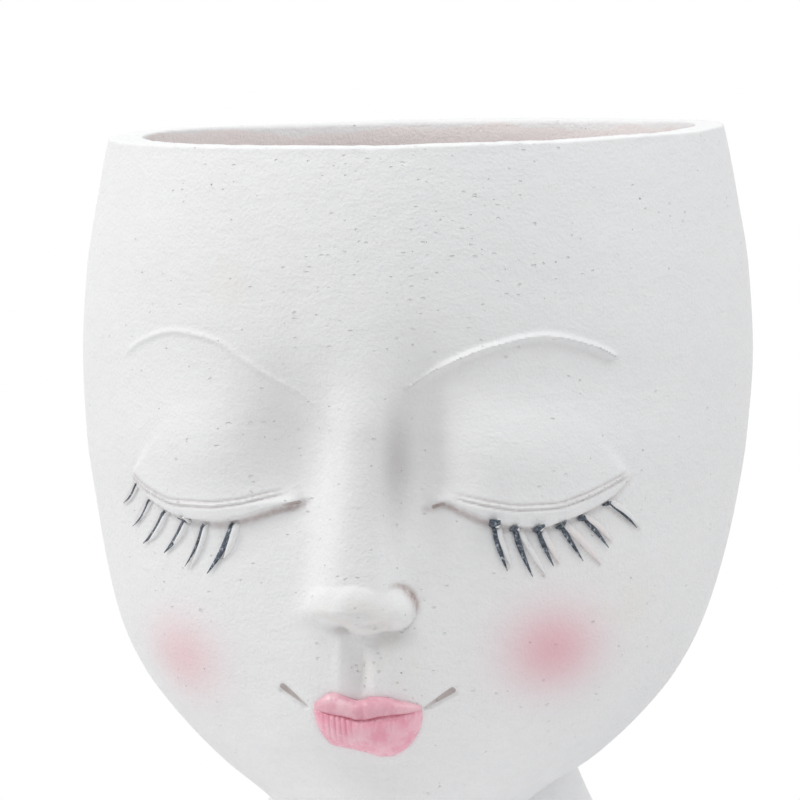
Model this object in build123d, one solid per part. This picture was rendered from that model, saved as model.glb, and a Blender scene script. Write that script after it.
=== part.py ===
from build123d import *
import os
from math import asin, cos, exp, hypot, pi, radians, sin, sqrt

from scipy.interpolate import PchipInterpolator

os.makedirs("parts", exist_ok=True)

# A head planter: a sleeping face cast in resin stone, cut flat at the forehead to make a bowl.
# All sizes are millimetres. The face looks along -Y, +Z is up and the pads stand on Z = 0.
# Left and right are as seen from the front: left is -X.

# The casting as a whole.
head_width = 149.2
head_depth = 150.0
head_height = 155.0
chin_lift = 33.0
head_axis_y = 3.5

# The rim is cut on a slant: its back stands higher than its front, and its right a little higher.
rim_back_tilt = 3.35
rim_side_tilt = 0.8
rim_overrun = 12.0
cut_overrun = 1.0

# The neck and the foot that it flares into, round about one upright axis.
neck_radius = 31.7
neck_top = 76.0
flare_top = 50.0
flare_power = 1.3
flare_cones = 4
foot_radius = 54.0
foot_edge_height = 6.0
foot_edge = 1.4
neck_wall = 9.0

# The bowl, its floor and the drain hole in it.
bowl_y = 4.6
bowl_floor = 52.0
floor_thickness = 9.0
bowl_radius = 67.0
bowl_rim_radius = 60.0
drain_radius = 6.5

# The rubber plug: a tapered stopper, a flange under the floor, a stem and a knob to pull.
plug_clearance = 0.06
plug_short = 0.5
plug_taper = 0.4
plug_taper_height = 4.5
plug_flange_radius = 10.0
plug_flange_thickness = 2.4
plug_stem_radius = 2.6
plug_stem_length = 5.0
plug_knob_radius = 4.2
plug_knob_thickness = 3.2

# Stick-on pads under the foot.
pad_thickness = 2.0
pad_radius = 3.8
pad_count = 4

# The soft forms of the face: how far each stands out of the head, or is pressed into it.
bridge_height = 8.2
bridge_brow_height = 2.2
bridge_width = 6.4
socket_depth = 4.6
socket_width = 7.5
socket_tall = 12.0
brow_hollow_depth = 1.6
brow_hollow_width = 15.0
brow_hollow_tall = 6.5
lid_bulge = 2.6
lid_width = 14.0
lid_tall = 8.5
cheek_bulge = 1.4
cheek_width = 16.0
cheek_tall = 13.0
muzzle_bulge = 2.6
muzzle_width = 15.0
muzzle_tall = 11.0
chin_bulge = 2.6
chin_width = 12.0
chin_tall = 8.0
lip_hollow_depth = 1.8
lip_hollow_width = 10.0
lip_hollow_tall = 4.5

# The nose: a round tip between two round wings, on the end of the bridge.
nose_width = 24.6
nose_length = 10.2
nose_tip_radius = 6.6
nose_wing_radius = 5.2
nose_roll_radius = 5.0
wing_set_back = 1.9
wing_drop = 0.6

# Raised lines of the face.
brow_line_radius = 0.95
brow_line_end = 0.3
brow_line_sink = 0.25
lid_rim_radius = 1.25
lid_rim_end = 0.35
lid_rim_sink = 0.3

# Painted relief: lips and lashes, each inlaid a little way into the casting.
lip_width = 24.8
lip_height = 14.0
mouth_sink = 8.4
upper_lip_proud = 2.7
lower_lip_proud = 3.5
lip_end_proud = 0.6
mouth_line_half = 0.3
smile_end_half = 1.0
lash_root_width = 2.1
lash_proud = 0.85
lash_sink = 1.1

# Stations of the plain head, from the chin to above the rim. Each row gives shares: height of
# head_height, half width of head_width / 2, then front, back and widest place of head_depth / 2.
head_shares = [
    (0.000, 0.030, 0.573, -0.490, 0.533),
    (0.019, 0.188, 0.680, -0.200, 0.400),
    (0.045, 0.315, 0.760, 0.107, 0.267),
    (0.084, 0.436, 0.827, 0.347, 0.173),
    (0.110, 0.529, 0.853, 0.453, 0.113),
    (0.142, 0.610, 0.880, 0.553, 0.101),
    (0.187, 0.702, 0.907, 0.673, 0.097),
    (0.239, 0.787, 0.927, 0.767, 0.096),
    (0.303, 0.857, 0.947, 0.847, 0.087),
    (0.381, 0.910, 0.960, 0.920, 0.060),
    (0.471, 0.952, 0.973, 0.973, 0.029),
    (0.574, 0.985, 0.980, 1.007, 0.021),
    (0.690, 1.000, 0.980, 1.013, 0.005),
    (0.806, 0.987, 0.967, 0.993, 0.005),
    (0.910, 0.953, 0.940, 0.960, 0.008),
    (1.000, 0.917, 0.900, 0.920, 0.011),
    (1.090, 0.864, 0.846, 0.874, 0.011),
]

# Places on the face as shares: along X of half the head's width, and up from the chin of its height.
socket_shares = (0.235, 0.590)
brow_hollow_shares = (0.430, 0.655)
lid_shares = (0.440, 0.568)
cheek_shares = (0.500, 0.320)
muzzle_shares = (0.0, 0.235)
chin_shares = (0.0, 0.075)
lip_hollow_shares = (0.0, 0.135)
nose_z_share = 0.368
mouth_z_share = 0.226
neck_y_share = 0.2933

# Lines that run over the face: shares of a quarter turn from the front, and of the head's height.
left_brow_shares = [
    (-0.557, 0.688), (-0.473, 0.717), (-0.389, 0.730), (-0.299, 0.721), (-0.228, 0.693),
    (-0.181, 0.672), (-0.136, 0.655), (-0.092, 0.628), (-0.067, 0.598),
]
right_brow_shares = [
    (0.074, 0.655), (0.139, 0.686), (0.229, 0.714), (0.328, 0.728), (0.421, 0.715), (0.483, 0.696),
]
left_lid_shares = [
    (-0.514, 0.537), (-0.433, 0.499), (-0.361, 0.485), (-0.294, 0.484), (-0.233, 0.490),
    (-0.178, 0.503), (-0.128, 0.507),
]
right_lid_shares = [
    (0.120, 0.501), (0.156, 0.511), (0.204, 0.497), (0.278, 0.485), (0.333, 0.485),
    (0.389, 0.495), (0.450, 0.516), (0.511, 0.542),
]
# Each lash as (root, tip) in the same shares, from the left of the face to its right.
left_lash_shares = [
    ((-0.496, 0.517), (-0.562, 0.488)),
    ((-0.458, 0.496), (-0.533, 0.457)),
    ((-0.416, 0.480), (-0.498, 0.435)),
    ((-0.359, 0.473), (-0.428, 0.426)),
    ((-0.317, 0.468), (-0.370, 0.410)),
    ((-0.252, 0.472), (-0.314, 0.403)),
]
right_lash_shares = [
    ((0.234, 0.480), (0.262, 0.415)),
    ((0.271, 0.472), (0.310, 0.406)),
    ((0.314, 0.472), (0.355, 0.419)),
    ((0.356, 0.473), (0.416, 0.423)),
    ((0.402, 0.482), (0.470, 0.440)),
    ((0.450, 0.502), (0.535, 0.466)),
]

# The mouth at stations across it: along X in shares of half the lips' width, then the heights of
# the upper lip's top, the mouth line and the lower lip's bottom in shares of the lips' height.
lip_shares = [
    (-0.95, 0.100, 0.010, -0.150),
    (-0.75, 0.207, -0.036, -0.457),
    (-0.50, 0.271, -0.071, -0.571),
    (-0.25, 0.214, -0.129, -0.600),
    (0.00, 0.171, -0.157, -0.643),
    (0.25, 0.243, -0.070, -0.707),
    (0.50, 0.186, -0.036, -0.643),
    (0.75, 0.150, 0.000, -0.500),
    (0.95, 0.110, 0.020, -0.200),
]
# The smile lines run on from the mouth line, out to both cheeks.
left_smile_shares = [(-1.43, 0.320), (-1.22, 0.190), (-1.00, 0.050)]
right_smile_shares = [(1.00, 0.050), (1.25, 0.180), (1.47, 0.320)]

# Heights of the rings that the head's outside is ruled between, in shares of its height.
band_shares = [
    0.002, 0.012, 0.028, 0.050, 0.076, 0.106, 0.138, 0.170, 0.204, 0.238, 0.272, 0.306, 0.340, 0.374,
    0.408, 0.442, 0.476, 0.510, 0.546, 0.584, 0.624, 0.668, 0.716, 0.770, 0.840, 0.920, 1.000, 1.080,
]

# The bowl's wall from its floor to its widest place, as shares of its radius and of its depth.
bowl_shares = [(0.328, 0.0), (0.612, 0.056), (0.860, 0.270), (0.994, 0.620)]

# Shares that shape soft forms: ratios and powers without a unit.
bridge_power = 1.35
bridge_fade_share = 0.30
bridge_narrow_share = 0.82
bridge_widen_share = 0.35
bead_power = 0.6
bead_rings = 9
bead_sides = 8
crest_shares = (0.3, 0.7)
crest_reach_share = 1.8
mouth_valley_share = 0.5
smile_beyond_share = 0.45
widest_turn_share = 0.95
aim_steps = 12
aim_share = 0.01

half_width = head_width / 2
half_depth = head_depth / 2
neck_y = neck_y_share * half_depth
height_share, width_share, front_share, back_share, widest_share = zip(*head_shares)
width_at = PchipInterpolator(height_share, width_share)
front_at = PchipInterpolator(height_share, front_share)
back_at = PchipInterpolator(height_share, back_share)
widest_at = PchipInterpolator(height_share, widest_share)


def face_z(share):
    return chin_lift + share * head_height


def plain_section(z):
    """Half width, front radius, back radius and centre of the plain head's egg at a height."""
    share = (z - chin_lift) / head_height
    widest = -float(widest_at(share)) * half_depth
    front = widest + float(front_at(share)) * half_depth
    back = float(back_at(share)) * half_depth - widest
    return float(width_at(share)) * half_width, front, back, widest + head_axis_y


def hill(x, z, place, width, tall):
    """A soft rise of height 1 at a place on the face and at its mirror image."""
    across = (abs(x) - place[0] * half_width) / width
    up = (z - face_z(place[1])) / tall
    return exp(-(across * across + up * up) / 2)


def bridge(x, z):
    """The ridge of the nose, from between the brows down to the tip."""
    nose_z = face_z(nose_z_share)
    brow_z = face_z(socket_shares[1])
    along = (brow_z - z) / (brow_z - nose_z)
    rise = bridge_brow_height + (bridge_height - bridge_brow_height) * max(along, 0) ** bridge_power
    above = exp(-((max(-along, 0) / bridge_fade_share) ** 2))
    under = max(nose_z - z, 0) / nose_wing_radius
    spread = bridge_width * (bridge_narrow_share + bridge_widen_share * max(along, 0))
    return rise * above * exp(-2 * under * under) * exp(-((x / spread) ** 4) / 2)


def relief(x, z):
    """How far the sculpted face stands out of the plain head."""
    out = bridge(x, z)
    out -= socket_depth * hill(x, z, socket_shares, socket_width, socket_tall)
    out -= brow_hollow_depth * hill(x, z, brow_hollow_shares, brow_hollow_width, brow_hollow_tall)
    out += lid_bulge * hill(x, z, lid_shares, lid_width, lid_tall)
    out += cheek_bulge * hill(x, z, cheek_shares, cheek_width, cheek_tall)
    out += muzzle_bulge * hill(x, z, muzzle_shares, muzzle_width, muzzle_tall)
    out += chin_bulge * hill(x, z, chin_shares, chin_width, chin_tall)
    out -= lip_hollow_depth * hill(x, z, lip_hollow_shares, lip_hollow_width, lip_hollow_tall)
    return out


def skin(turn, z):
    """The point of the sculpted face at an angle round the head's egg and a height."""
    half, front, back, centre = plain_section(z)
    x = half * sin(turn)
    if cos(turn) <= 0:
        return Vector(x, centre - back * cos(turn), z)
    nx, ny = front * sin(turn), -half * cos(turn)
    out = relief(x, z) / hypot(nx, ny)
    return Vector(x + nx * out, centre - front * cos(turn) + ny * out, z)


def skin_at(x, z):
    """The depth of the face straight behind a point of the front view."""
    half, front, back, centre = plain_section(z)
    turn = asin(max(-widest_turn_share, min(widest_turn_share, x / half)))
    return centre - front * cos(turn) - relief(x, z)


def face_point(turn_share, z_share):
    """A place on the face from shares of a quarter turn about the head's axis and of its height."""
    z = face_z(z_share)
    half, front, back, centre = plain_section(z)
    angle = turn_share * pi / 2
    turn = angle
    for step in range(aim_steps):
        point = skin(turn, z)
        seen = -asin(point.X / hypot(point.X, point.Y - head_axis_y))
        turn += angle + seen
    return skin(turn, z)


def face_normal(turn_share, z_share):
    """The way the face looks at that place."""
    across = face_point(turn_share + aim_share, z_share) - face_point(turn_share - aim_share, z_share)
    up = face_point(turn_share, z_share + aim_share) - face_point(turn_share, z_share - aim_share)
    return across.cross(up).normalized()


def ring(points, steps):
    return Wire([Edge.make_spline(points, periodic=True, parameters=steps)])


def turns_round():
    """Angles round the head: close together over the face, wider at the sides and the back."""
    right = []
    angle = 0
    while angle < 179:
        right.append(angle)
        angle += 4 if angle < 25 else 7 if angle < 62 else 12
    return [radians(-a) for a in reversed(right[1:])] + [radians(a) for a in right] + [pi]


def ring_steps(turns):
    gap = turns[1] - turns[0]
    span = turns[-1] - turns[0] + gap
    return [(turn - turns[0]) / span for turn in turns] + [1.0]


def head_outside():
    """The head as bands ruled between level sections, from the chin to above the rim."""
    turns = turns_round()
    steps = ring_steps(turns)
    rings = [ring([skin(turn, face_z(share)) for turn in turns], steps) for share in band_shares]
    return Solid.make_loft(rings, ruled=True)


def turned(profile, y=0.0):
    """A solid of revolution about an upright axis, from (radius, height) corners."""
    corners = [Vector(radius, 0, height) for radius, height in profile]
    sides = [Edge.make_line(corners[i - 1], corners[i]) for i in range(len(corners))]
    return Pos(0, y, 0) * Solid.revolve(Face(Wire(sides)), 360, Axis.Z)


def bowl_inside():
    """The bowl, as the round core of the mould left it: a flat floor, a curved side and a swell."""
    rim = chin_lift + head_height
    side = [(radius * bowl_radius, bowl_floor + depth * (rim - bowl_floor)) for radius, depth in bowl_shares]
    top = rim + rim_overrun
    return turned([(0, bowl_floor)] + side + [(bowl_rim_radius, top), (0, top)], bowl_y)


def neck_and_foot():
    """The neck and the foot that it flares into, on a chamfered edge."""
    foot_top = pad_thickness + foot_edge_height
    profile = [(0, pad_thickness), (foot_radius - foot_edge, pad_thickness), (foot_radius, pad_thickness + foot_edge)]
    for i in range(flare_cones + 1):
        out = (1 - i / flare_cones) ** flare_power
        z = foot_top + (flare_top - foot_top) * i / flare_cones
        profile.append((neck_radius + (foot_radius - neck_radius) * out, z))
    return turned(profile + [(neck_radius, neck_top), (0, neck_top)], neck_y)


def recess():
    """The hollow under the foot, up to the underside of the bowl's floor."""
    low, top = pad_thickness - cut_overrun, bowl_floor - floor_thickness
    edge, roof = foot_radius - neck_wall, neck_radius - neck_wall
    return turned([(0, low), (edge, low), (edge, pad_thickness + foot_edge_height), (roof, top), (0, top)], neck_y)


def disc(radius, low, high, x=0.0, y=0.0):
    return Solid.make_cylinder(radius, high - low, Plane(origin=(x, y, low)))


def rim_cutter():
    """Everything above the slanted plane of the rim."""
    middle = Location((0, head_axis_y, chin_lift + head_height))
    slant = Rot(rim_back_tilt, 0, 0) * Rot(0, -rim_side_tilt, 0)
    block = Box(2 * head_width, 2 * head_depth, 2 * rim_overrun, align=(Align.CENTER, Align.CENTER, Align.MIN))
    return middle * slant * block


def skin_root(z):
    """Depth of the plain head at the middle of the face."""
    half, front, back, centre = plain_section(z)
    return centre - front


def nose():
    """The nose tip, its two wings and the roll between them."""
    z = face_z(nose_z_share)
    tip_y = skin_root(z) - nose_length + nose_tip_radius
    wing_y = tip_y + nose_wing_radius - nose_tip_radius + wing_set_back
    reach = nose_width / 2 - nose_wing_radius
    tip = Solid.make_sphere(nose_tip_radius, Plane(origin=(0, tip_y, z)))
    wings = [
        Solid.make_sphere(nose_wing_radius, Plane(origin=(side * reach, wing_y, z - wing_drop)))
        for side in (-1, 1)
    ]
    left = Plane(origin=(-reach, wing_y, z - wing_drop), z_dir=(1, 0, 0))
    return [tip] + wings + [Solid.make_cylinder(nose_roll_radius, 2 * reach, left)]


def raised_line(shares, radius, end_radius, sink):
    """A bead laid along a line of the face, fining away at both ends."""
    points = [face_point(*share) - face_normal(*share) * sink for share in shares]
    path = Edge.make_spline(points)
    rings = []
    for step in range(bead_rings):
        along = step / (bead_rings - 1)
        size = end_radius + (radius - end_radius) * sin(pi * along) ** bead_power
        at = Plane(origin=path @ along, z_dir=path % along, x_dir=face_normal(*shares[len(shares) // 2]))
        turns = [2 * pi * (i + 1 / 2) / bead_sides for i in range(bead_sides)]
        corners = [at.from_local_coords(Vector(size * cos(turn), size * sin(turn))) for turn in turns]
        rings.append(Wire([Edge.make_line(corners[i - 1], corners[i]) for i in range(bead_sides)]))
    return Solid.make_loft(rings, ruled=True)


def lash(root, tip):
    """One lash: a drop, round at the lid and pointed at its end, let a little way into the cheek."""
    start, end = face_point(*root), face_point(*tip)
    middle_share = ((root[0] + tip[0]) / 2, (root[1] + tip[1]) / 2)
    seat = Plane(origin=face_point(*middle_share), x_dir=end - start, z_dir=face_normal(*middle_share))
    point = Vector((end - start).length / 2, 0, -lash_sink)
    half = lash_root_width / 2
    round_middle = Vector(half - point.X, 0, -lash_sink)
    upper, lower = round_middle + Vector(0, half), round_middle - Vector(0, half)
    outline = Wire([
        Edge.make_line(point, upper),
        Edge.make_three_point_arc(upper, round_middle - Vector(half, 0), lower),
        Edge.make_line(lower, point),
    ])
    return seat * Solid.extrude(Face(outline), Vector(0, 0, lash_sink + lash_proud))


def swell(start, crest, end):
    """Corners of a rounded swell from one point to another, leaning out to a crest between them."""
    inner = [
        start * (1 - share) ** 2 + crest * (2 * share * (1 - share)) + end * share ** 2
        for share in crest_shares
    ]
    return inner + [end]


def mouth_form():
    """Both lips as one pad: upright slices across the mouth, swelling above and below its line."""
    rings = []
    mouth_z = face_z(mouth_z_share)
    floor = skin_root(mouth_z) + mouth_sink
    for x_share, top_share, line_share, bottom_share in lip_shares:
        x = x_share * lip_width / 2
        fade = 1 - x_share * x_share
        low, line, high = [mouth_z + share * lip_height for share in (bottom_share, line_share, top_share)]
        lower_proud = lip_end_proud + (lower_lip_proud - lip_end_proud) * fade
        upper_proud = lip_end_proud + (upper_lip_proud - lip_end_proud) * fade
        lower_mid, upper_mid = (low + line) / 2, (line + high) / 2
        valley_proud = mouth_valley_share * (lower_proud + upper_proud) / 2
        bottom = Vector(x, skin_at(x, low), low)
        lower = Vector(x, skin_at(x, lower_mid) - crest_reach_share * lower_proud, lower_mid)
        valley = Vector(x, skin_at(x, line) - valley_proud, line)
        upper = Vector(x, skin_at(x, upper_mid) - crest_reach_share * upper_proud, upper_mid)
        top = Vector(x, skin_at(x, high), high)
        corners = [Vector(x, floor, high), Vector(x, floor, low), bottom]
        corners += swell(bottom, lower, valley) + swell(valley, upper, top)
        rings.append(Wire([Edge.make_line(corners[i - 1], corners[i]) for i in range(len(corners))]))
    return Solid.make_loft(rings, ruled=True)


def mouth_groove():
    """The dark line between the lips and the smile lines at its ends, cut to the lips' floor."""
    centres = left_smile_shares + [(row[0], row[2]) for row in lip_shares] + right_smile_shares
    mouth_z = face_z(mouth_z_share)
    floor = skin_root(mouth_z) + mouth_sink
    upper, lower = [], []
    for x_share, z_share in centres:
        beyond = min(max(abs(x_share) - 1, 0) / smile_beyond_share, 1)
        spread = mouth_line_half + (smile_end_half - mouth_line_half) * beyond
        lean = spread * beyond / 2 * (1 if x_share > 0 else -1)
        x, z = x_share * lip_width / 2, mouth_z + z_share * lip_height
        upper.append(Vector(x - lean, floor, z + spread))
        lower.append(Vector(x + lean, floor, z - spread))
    corners = upper + lower[::-1]
    outline = Wire([Edge.make_line(corners[i - 1], corners[i]) for i in range(len(corners))])
    return Solid.extrude(Face(outline), Vector(0, -half_depth, 0))


def casting(lashes, mouth):
    """Head, neck and foot cast in one, hollow for the soil and under the neck."""
    beads = [raised_line(shares, brow_line_radius, brow_line_end, brow_line_sink)
             for shares in (left_brow_shares, right_brow_shares)]
    beads += [raised_line(shares, lid_rim_radius, lid_rim_end, lid_rim_sink)
              for shares in (left_lid_shares, right_lid_shares)]
    drain = disc(drain_radius, bowl_floor - floor_thickness - cut_overrun, bowl_floor + cut_overrun, 0, neck_y)
    face = head_outside() + nose() + beads - mouth - lashes
    return face + neck_and_foot() - bowl_inside() - rim_cutter() - recess() - drain


def drain_plug():
    """The rubber stopper that closes the drain from below."""
    top, under = bowl_floor - plug_short, bowl_floor - floor_thickness
    flange_low = under - plug_flange_thickness
    stem_low = flange_low - plug_stem_length
    knob_low = stem_low - plug_knob_thickness
    radius = drain_radius - plug_clearance
    return turned([
        (0, knob_low), (plug_knob_radius, knob_low), (plug_knob_radius, stem_low),
        (plug_stem_radius, stem_low), (plug_stem_radius, flange_low), (plug_flange_radius, flange_low),
        (plug_flange_radius, under), (radius, under), (radius, top - plug_taper_height),
        (radius - plug_taper, top), (0, top),
    ], neck_y)


def base_pad(number):
    """One of the round pads stuck under the foot's ring."""
    turn = 2 * pi * (number + 1 / 2) / pad_count
    reach = foot_radius - neck_wall / 2
    return disc(pad_radius, 0, pad_thickness, reach * cos(turn), neck_y + reach * sin(turn))


def save(name, shape):
    solids = shape.solids()
    export_step(solids[0] if len(solids) == 1 else Compound(solids), "parts/" + name + ".step")


mouth = mouth_form()
groove = mouth_groove()
lower_lip, upper_lip = (mouth - groove).solids().sort_by(Axis.Z)
save("lower_lip", lower_lip)
save("upper_lip", upper_lip)
lashes = []
for side, pairs in (("left", left_lash_shares), ("right", right_lash_shares)):
    for number, (root, tip) in enumerate(pairs, 1):
        lashes.append(lash(root, tip))
        save(side + "_lash_" + str(number), lashes[-1])
save("head_shell", casting(lashes, mouth + groove))
save("drain_plug", drain_plug())
for number in range(pad_count):
    save("base_pad_" + str(number + 1), base_pad(number))
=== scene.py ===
import math

import bpy
import numpy as np
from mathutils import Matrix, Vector, noise


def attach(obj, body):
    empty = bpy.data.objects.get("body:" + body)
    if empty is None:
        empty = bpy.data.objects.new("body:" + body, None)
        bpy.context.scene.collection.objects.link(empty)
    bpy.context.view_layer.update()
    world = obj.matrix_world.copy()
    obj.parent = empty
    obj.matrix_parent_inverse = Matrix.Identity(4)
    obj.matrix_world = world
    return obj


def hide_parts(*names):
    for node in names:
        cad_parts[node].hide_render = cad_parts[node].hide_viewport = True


# A head planter: a sleeping face cast in resin stone, cut flat at the forehead to hold a plant.
# Metres throughout. The face looks along -Y, +Z is up; left and right are as seen from the front.
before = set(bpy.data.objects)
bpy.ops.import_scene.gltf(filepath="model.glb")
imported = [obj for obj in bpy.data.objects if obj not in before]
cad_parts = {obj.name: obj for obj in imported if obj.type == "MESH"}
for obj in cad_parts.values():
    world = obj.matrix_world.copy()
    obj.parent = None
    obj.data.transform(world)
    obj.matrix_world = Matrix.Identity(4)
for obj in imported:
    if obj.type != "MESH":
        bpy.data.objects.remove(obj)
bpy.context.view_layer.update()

# Viewpoint. The photograph looks from slightly right of the nose and a little above, from far away
# through a long lens. The focal length is in shares of the picture's 800 pixels of width.
view_azimuth, view_elevation = 9.2, 3.3
view_distance, view_height, view_aside = 0.95, 0.1286, -0.004
film_width, view_focal_share = 36, 4256 / 800
head_axis_y = 0.0035


def direction(azimuth, elevation):
    """A way out from the head, by degrees to the right of its front and degrees up."""
    turn, rise = math.radians(azimuth), math.radians(elevation)
    return Vector((math.sin(turn) * math.cos(rise), -math.cos(turn) * math.cos(rise), math.sin(rise)))


def new_object(name, data):
    """An object in the scene."""
    made = bpy.data.objects.new(name, data)
    bpy.context.scene.collection.objects.link(made)
    return made


def aim(made, start, way, distance):
    """Stands a camera or a lamp out along a way from a start, looking back along it."""
    made.location = start + way * distance
    made.rotation_mode = "QUATERNION"
    made.rotation_quaternion = (-way).to_track_quat("-Z", "Y")


camera = new_object("camera", bpy.data.cameras.new("camera"))
camera.data.sensor_width, camera.data.lens = film_width, film_width * view_focal_share
target = direction(view_azimuth + 90, 0) * view_aside + Vector((0, head_axis_y, view_height))
aim(camera, target, direction(view_azimuth, view_elevation), view_distance)
bpy.context.scene.camera = camera

# Studio. A white room with a bright soft lamp at the left, a broad one above the front and a
# broad one at the right. The floor is a pale disc under the pot that fades into the white.
bpy.context.scene.view_settings.view_transform = "Standard"
room_light, room_tint = 0.61, (0.985, 0.99, 1.0, 1)


def put(tree, kind, inputs=(), **settings):
    """The outputs of a new node; inputs are (socket, value or linked output) pairs."""
    node = tree.nodes.new(kind)
    for key, value in settings.items():
        setattr(node, key, value)
    for key, value in inputs:
        if isinstance(value, bpy.types.NodeSocket):
            tree.links.new(value, node.inputs[key])
        else:
            node.inputs[key].default_value = value
    return node.outputs


def home(*values):
    """The node tree that the outputs among some values belong to."""
    return next(value.id_data for value in values if isinstance(value, bpy.types.NodeSocket))


def maths(kind, one, two):
    """One sum of two values or outputs."""
    return put(home(one, two), "ShaderNodeMath", [(0, one), (1, two)], operation=kind)[0]


world = bpy.data.worlds.new("room")
bpy.context.scene.world = world
world.use_nodes = True
room = world.node_tree
room.nodes.clear()
rays = put(room, "ShaderNodeLightPath")
seen = maths("MAXIMUM", rays["Is Glossy Ray"], rays["Is Transmission Ray"])
seen = maths("MAXIMUM", rays["Is Camera Ray"], seen)
lit = put(room, "ShaderNodeBackground", [("Color", room_tint), ("Strength", room_light)])
blank = put(room, "ShaderNodeBackground", [("Color", (1, 1, 1, 1)), ("Strength", 1.0)])
both = put(room, "ShaderNodeMixShader", [(0, seen), (1, lit[0]), (2, blank[0])])
put(room, "ShaderNodeOutputWorld", [("Surface", both[0])])


# Lamps: degrees to the right and up, distance, size, power, tint.
for name, azimuth, elevation, distance, size, power, tint in (
    ("key_lamp", -73, 37, 1.3, 0.45, 5.7, (1.0, 0.995, 0.985)),
    ("top_lamp", -6, 62, 1.2, 0.7, 2.15, (1.0, 1.0, 1.0)),
    ("side_lamp", 78, 48, 1.4, 0.8, 4.5, (0.98, 0.99, 1.0)),
):
    lamp = bpy.data.lights.new(name, "AREA")
    lamp.shape = "SQUARE"
    lamp.size, lamp.energy, lamp.color = size, power, tint
    aim(new_object(name, lamp), Vector((0, 0, view_height)), direction(azimuth, elevation), distance)

floor_radius, floor_plain_radius, floor_sides = 0.225, 0.13, 96
floor_edge = [
    (floor_radius * math.cos(turn), floor_radius * math.sin(turn), 0)
    for turn in 2 * math.pi * np.arange(floor_sides) / floor_sides
]
floor_mesh = bpy.data.meshes.new("floor")
floor_mesh.from_pydata(floor_edge, [], [range(floor_sides)])
floor = new_object("floor", floor_mesh)


def new_material(name):
    """A material with an empty tree, its Principled shader and its output."""
    made = bpy.data.materials.new(name)
    made.use_nodes = True
    tree = made.node_tree
    tree.nodes.clear()
    shader = tree.nodes.new("ShaderNodeBsdfPrincipled")
    out = tree.nodes.new("ShaderNodeOutputMaterial")
    tree.links.new(shader.outputs[0], out.inputs["Surface"])
    return made, tree, shader


def whereabouts(tree):
    """The place on the object."""
    return put(tree, "ShaderNodeTexCoord")["Object"]


def ramped(value, low, high, to_low=0.0, to_high=1.0):
    """A value carried smoothly from one range to another."""
    return put(value.id_data, "ShaderNodeMapRange", [
        ("Value", value), ("From Min", low), ("From Max", high), ("To Min", to_low), ("To Max", to_high),
    ], interpolation_type="SMOOTHSTEP")[0]


floor_paint, tree, shader = new_material("pale_floor")
shader.inputs["Base Color"].default_value = (0.88, 0.88, 0.885, 1)
shader.inputs["Roughness"].default_value = 0.9
far = put(tree, "ShaderNodeVectorMath", [(0, whereabouts(tree))], operation="LENGTH")["Value"]
fade = ramped(far, floor_plain_radius, floor_radius)
glow = put(tree, "ShaderNodeEmission", [("Color", (1, 1, 1, 1)), ("Strength", 1.0)])
faded = put(tree, "ShaderNodeMixShader", [(0, fade), (1, shader.outputs[0]), (2, glow[0])])
# The floor is clear from below, so that the underside of the pot can be seen.
clear = put(tree, "ShaderNodeBsdfTransparent")
below = put(tree, "ShaderNodeNewGeometry")["Backfacing"]
mixed = put(tree, "ShaderNodeMixShader", [(0, below), (1, faded[0]), (2, clear[0])])
tree.links.new(mixed[0], tree.nodes["Material Output"].inputs["Surface"])
floor_mesh.materials.append(floor_paint)

# The casting: head, neck and flared foot in one, poured in white resin stone in a two-part mould.
# The head is an egg of level sections; the face is pushed out of it and pressed into it. The rim
# is cut on a slant and rubbed round by hand, and the bowl inside is left raw.
head_width, head_depth, head_height, chin_lift = 0.149, 0.15, 0.155, 0.033
half_width, half_depth = head_width / 2, head_depth / 2
rim_back_tilt, rim_side_tilt = math.radians(3.35), math.radians(0.8)
rim_outer_round, rim_inner_round, rim_lift = 0.0006, 0.0005, 0.0008
bowl_y, bowl_floor, bowl_radius = 0.0046, 0.052, 0.067
floor_thickness, drain_radius = 0.009, 0.0065
neck_y, neck_radius, neck_top, flare_top, flare_power = 0.022, 0.0317, 0.076, 0.05, 1.3
foot_radius, foot_edge_height, foot_edge, neck_wall, pad_thickness = 0.054, 0.006, 0.0014, 0.009, 0.002
# Stations of the plain head from chin to rim, as shares: height, half width, then the front,
# back and widest place of half the depth.
head_shares = [
    (0, 0.03, 0.573, -0.49, 0.533), (0.019, 0.188, 0.68, -0.2, 0.4),
    (0.045, 0.315, 0.76, 0.107, 0.267), (0.084, 0.436, 0.827, 0.347, 0.173),
    (0.11, 0.529, 0.853, 0.453, 0.113), (0.142, 0.61, 0.88, 0.553, 0.101),
    (0.187, 0.702, 0.907, 0.673, 0.097), (0.239, 0.787, 0.927, 0.767, 0.096),
    (0.303, 0.857, 0.947, 0.847, 0.087), (0.381, 0.91, 0.96, 0.92, 0.06),
    (0.471, 0.952, 0.973, 0.973, 0.029), (0.574, 0.985, 0.98, 1.007, 0.021),
    (0.69, 1.000, 0.98, 1.013, 0.005), (0.806, 0.987, 0.967, 0.993, 0.005),
    (0.91, 0.953, 0.94, 0.96, 0.008), (1.000, 0.917, 0.9, 0.92, 0.011),
    (1.09, 0.864, 0.846, 0.874, 0.011),
]
bowl_shares = [(0.328, 0.0), (0.49, 0.018), (0.612, 0.056), (0.75, 0.145), (0.86, 0.27),
               (0.945, 0.43), (0.994, 0.62), (1.000, 0.76), (0.955, 0.92), (0.915, 1.0)]


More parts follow.
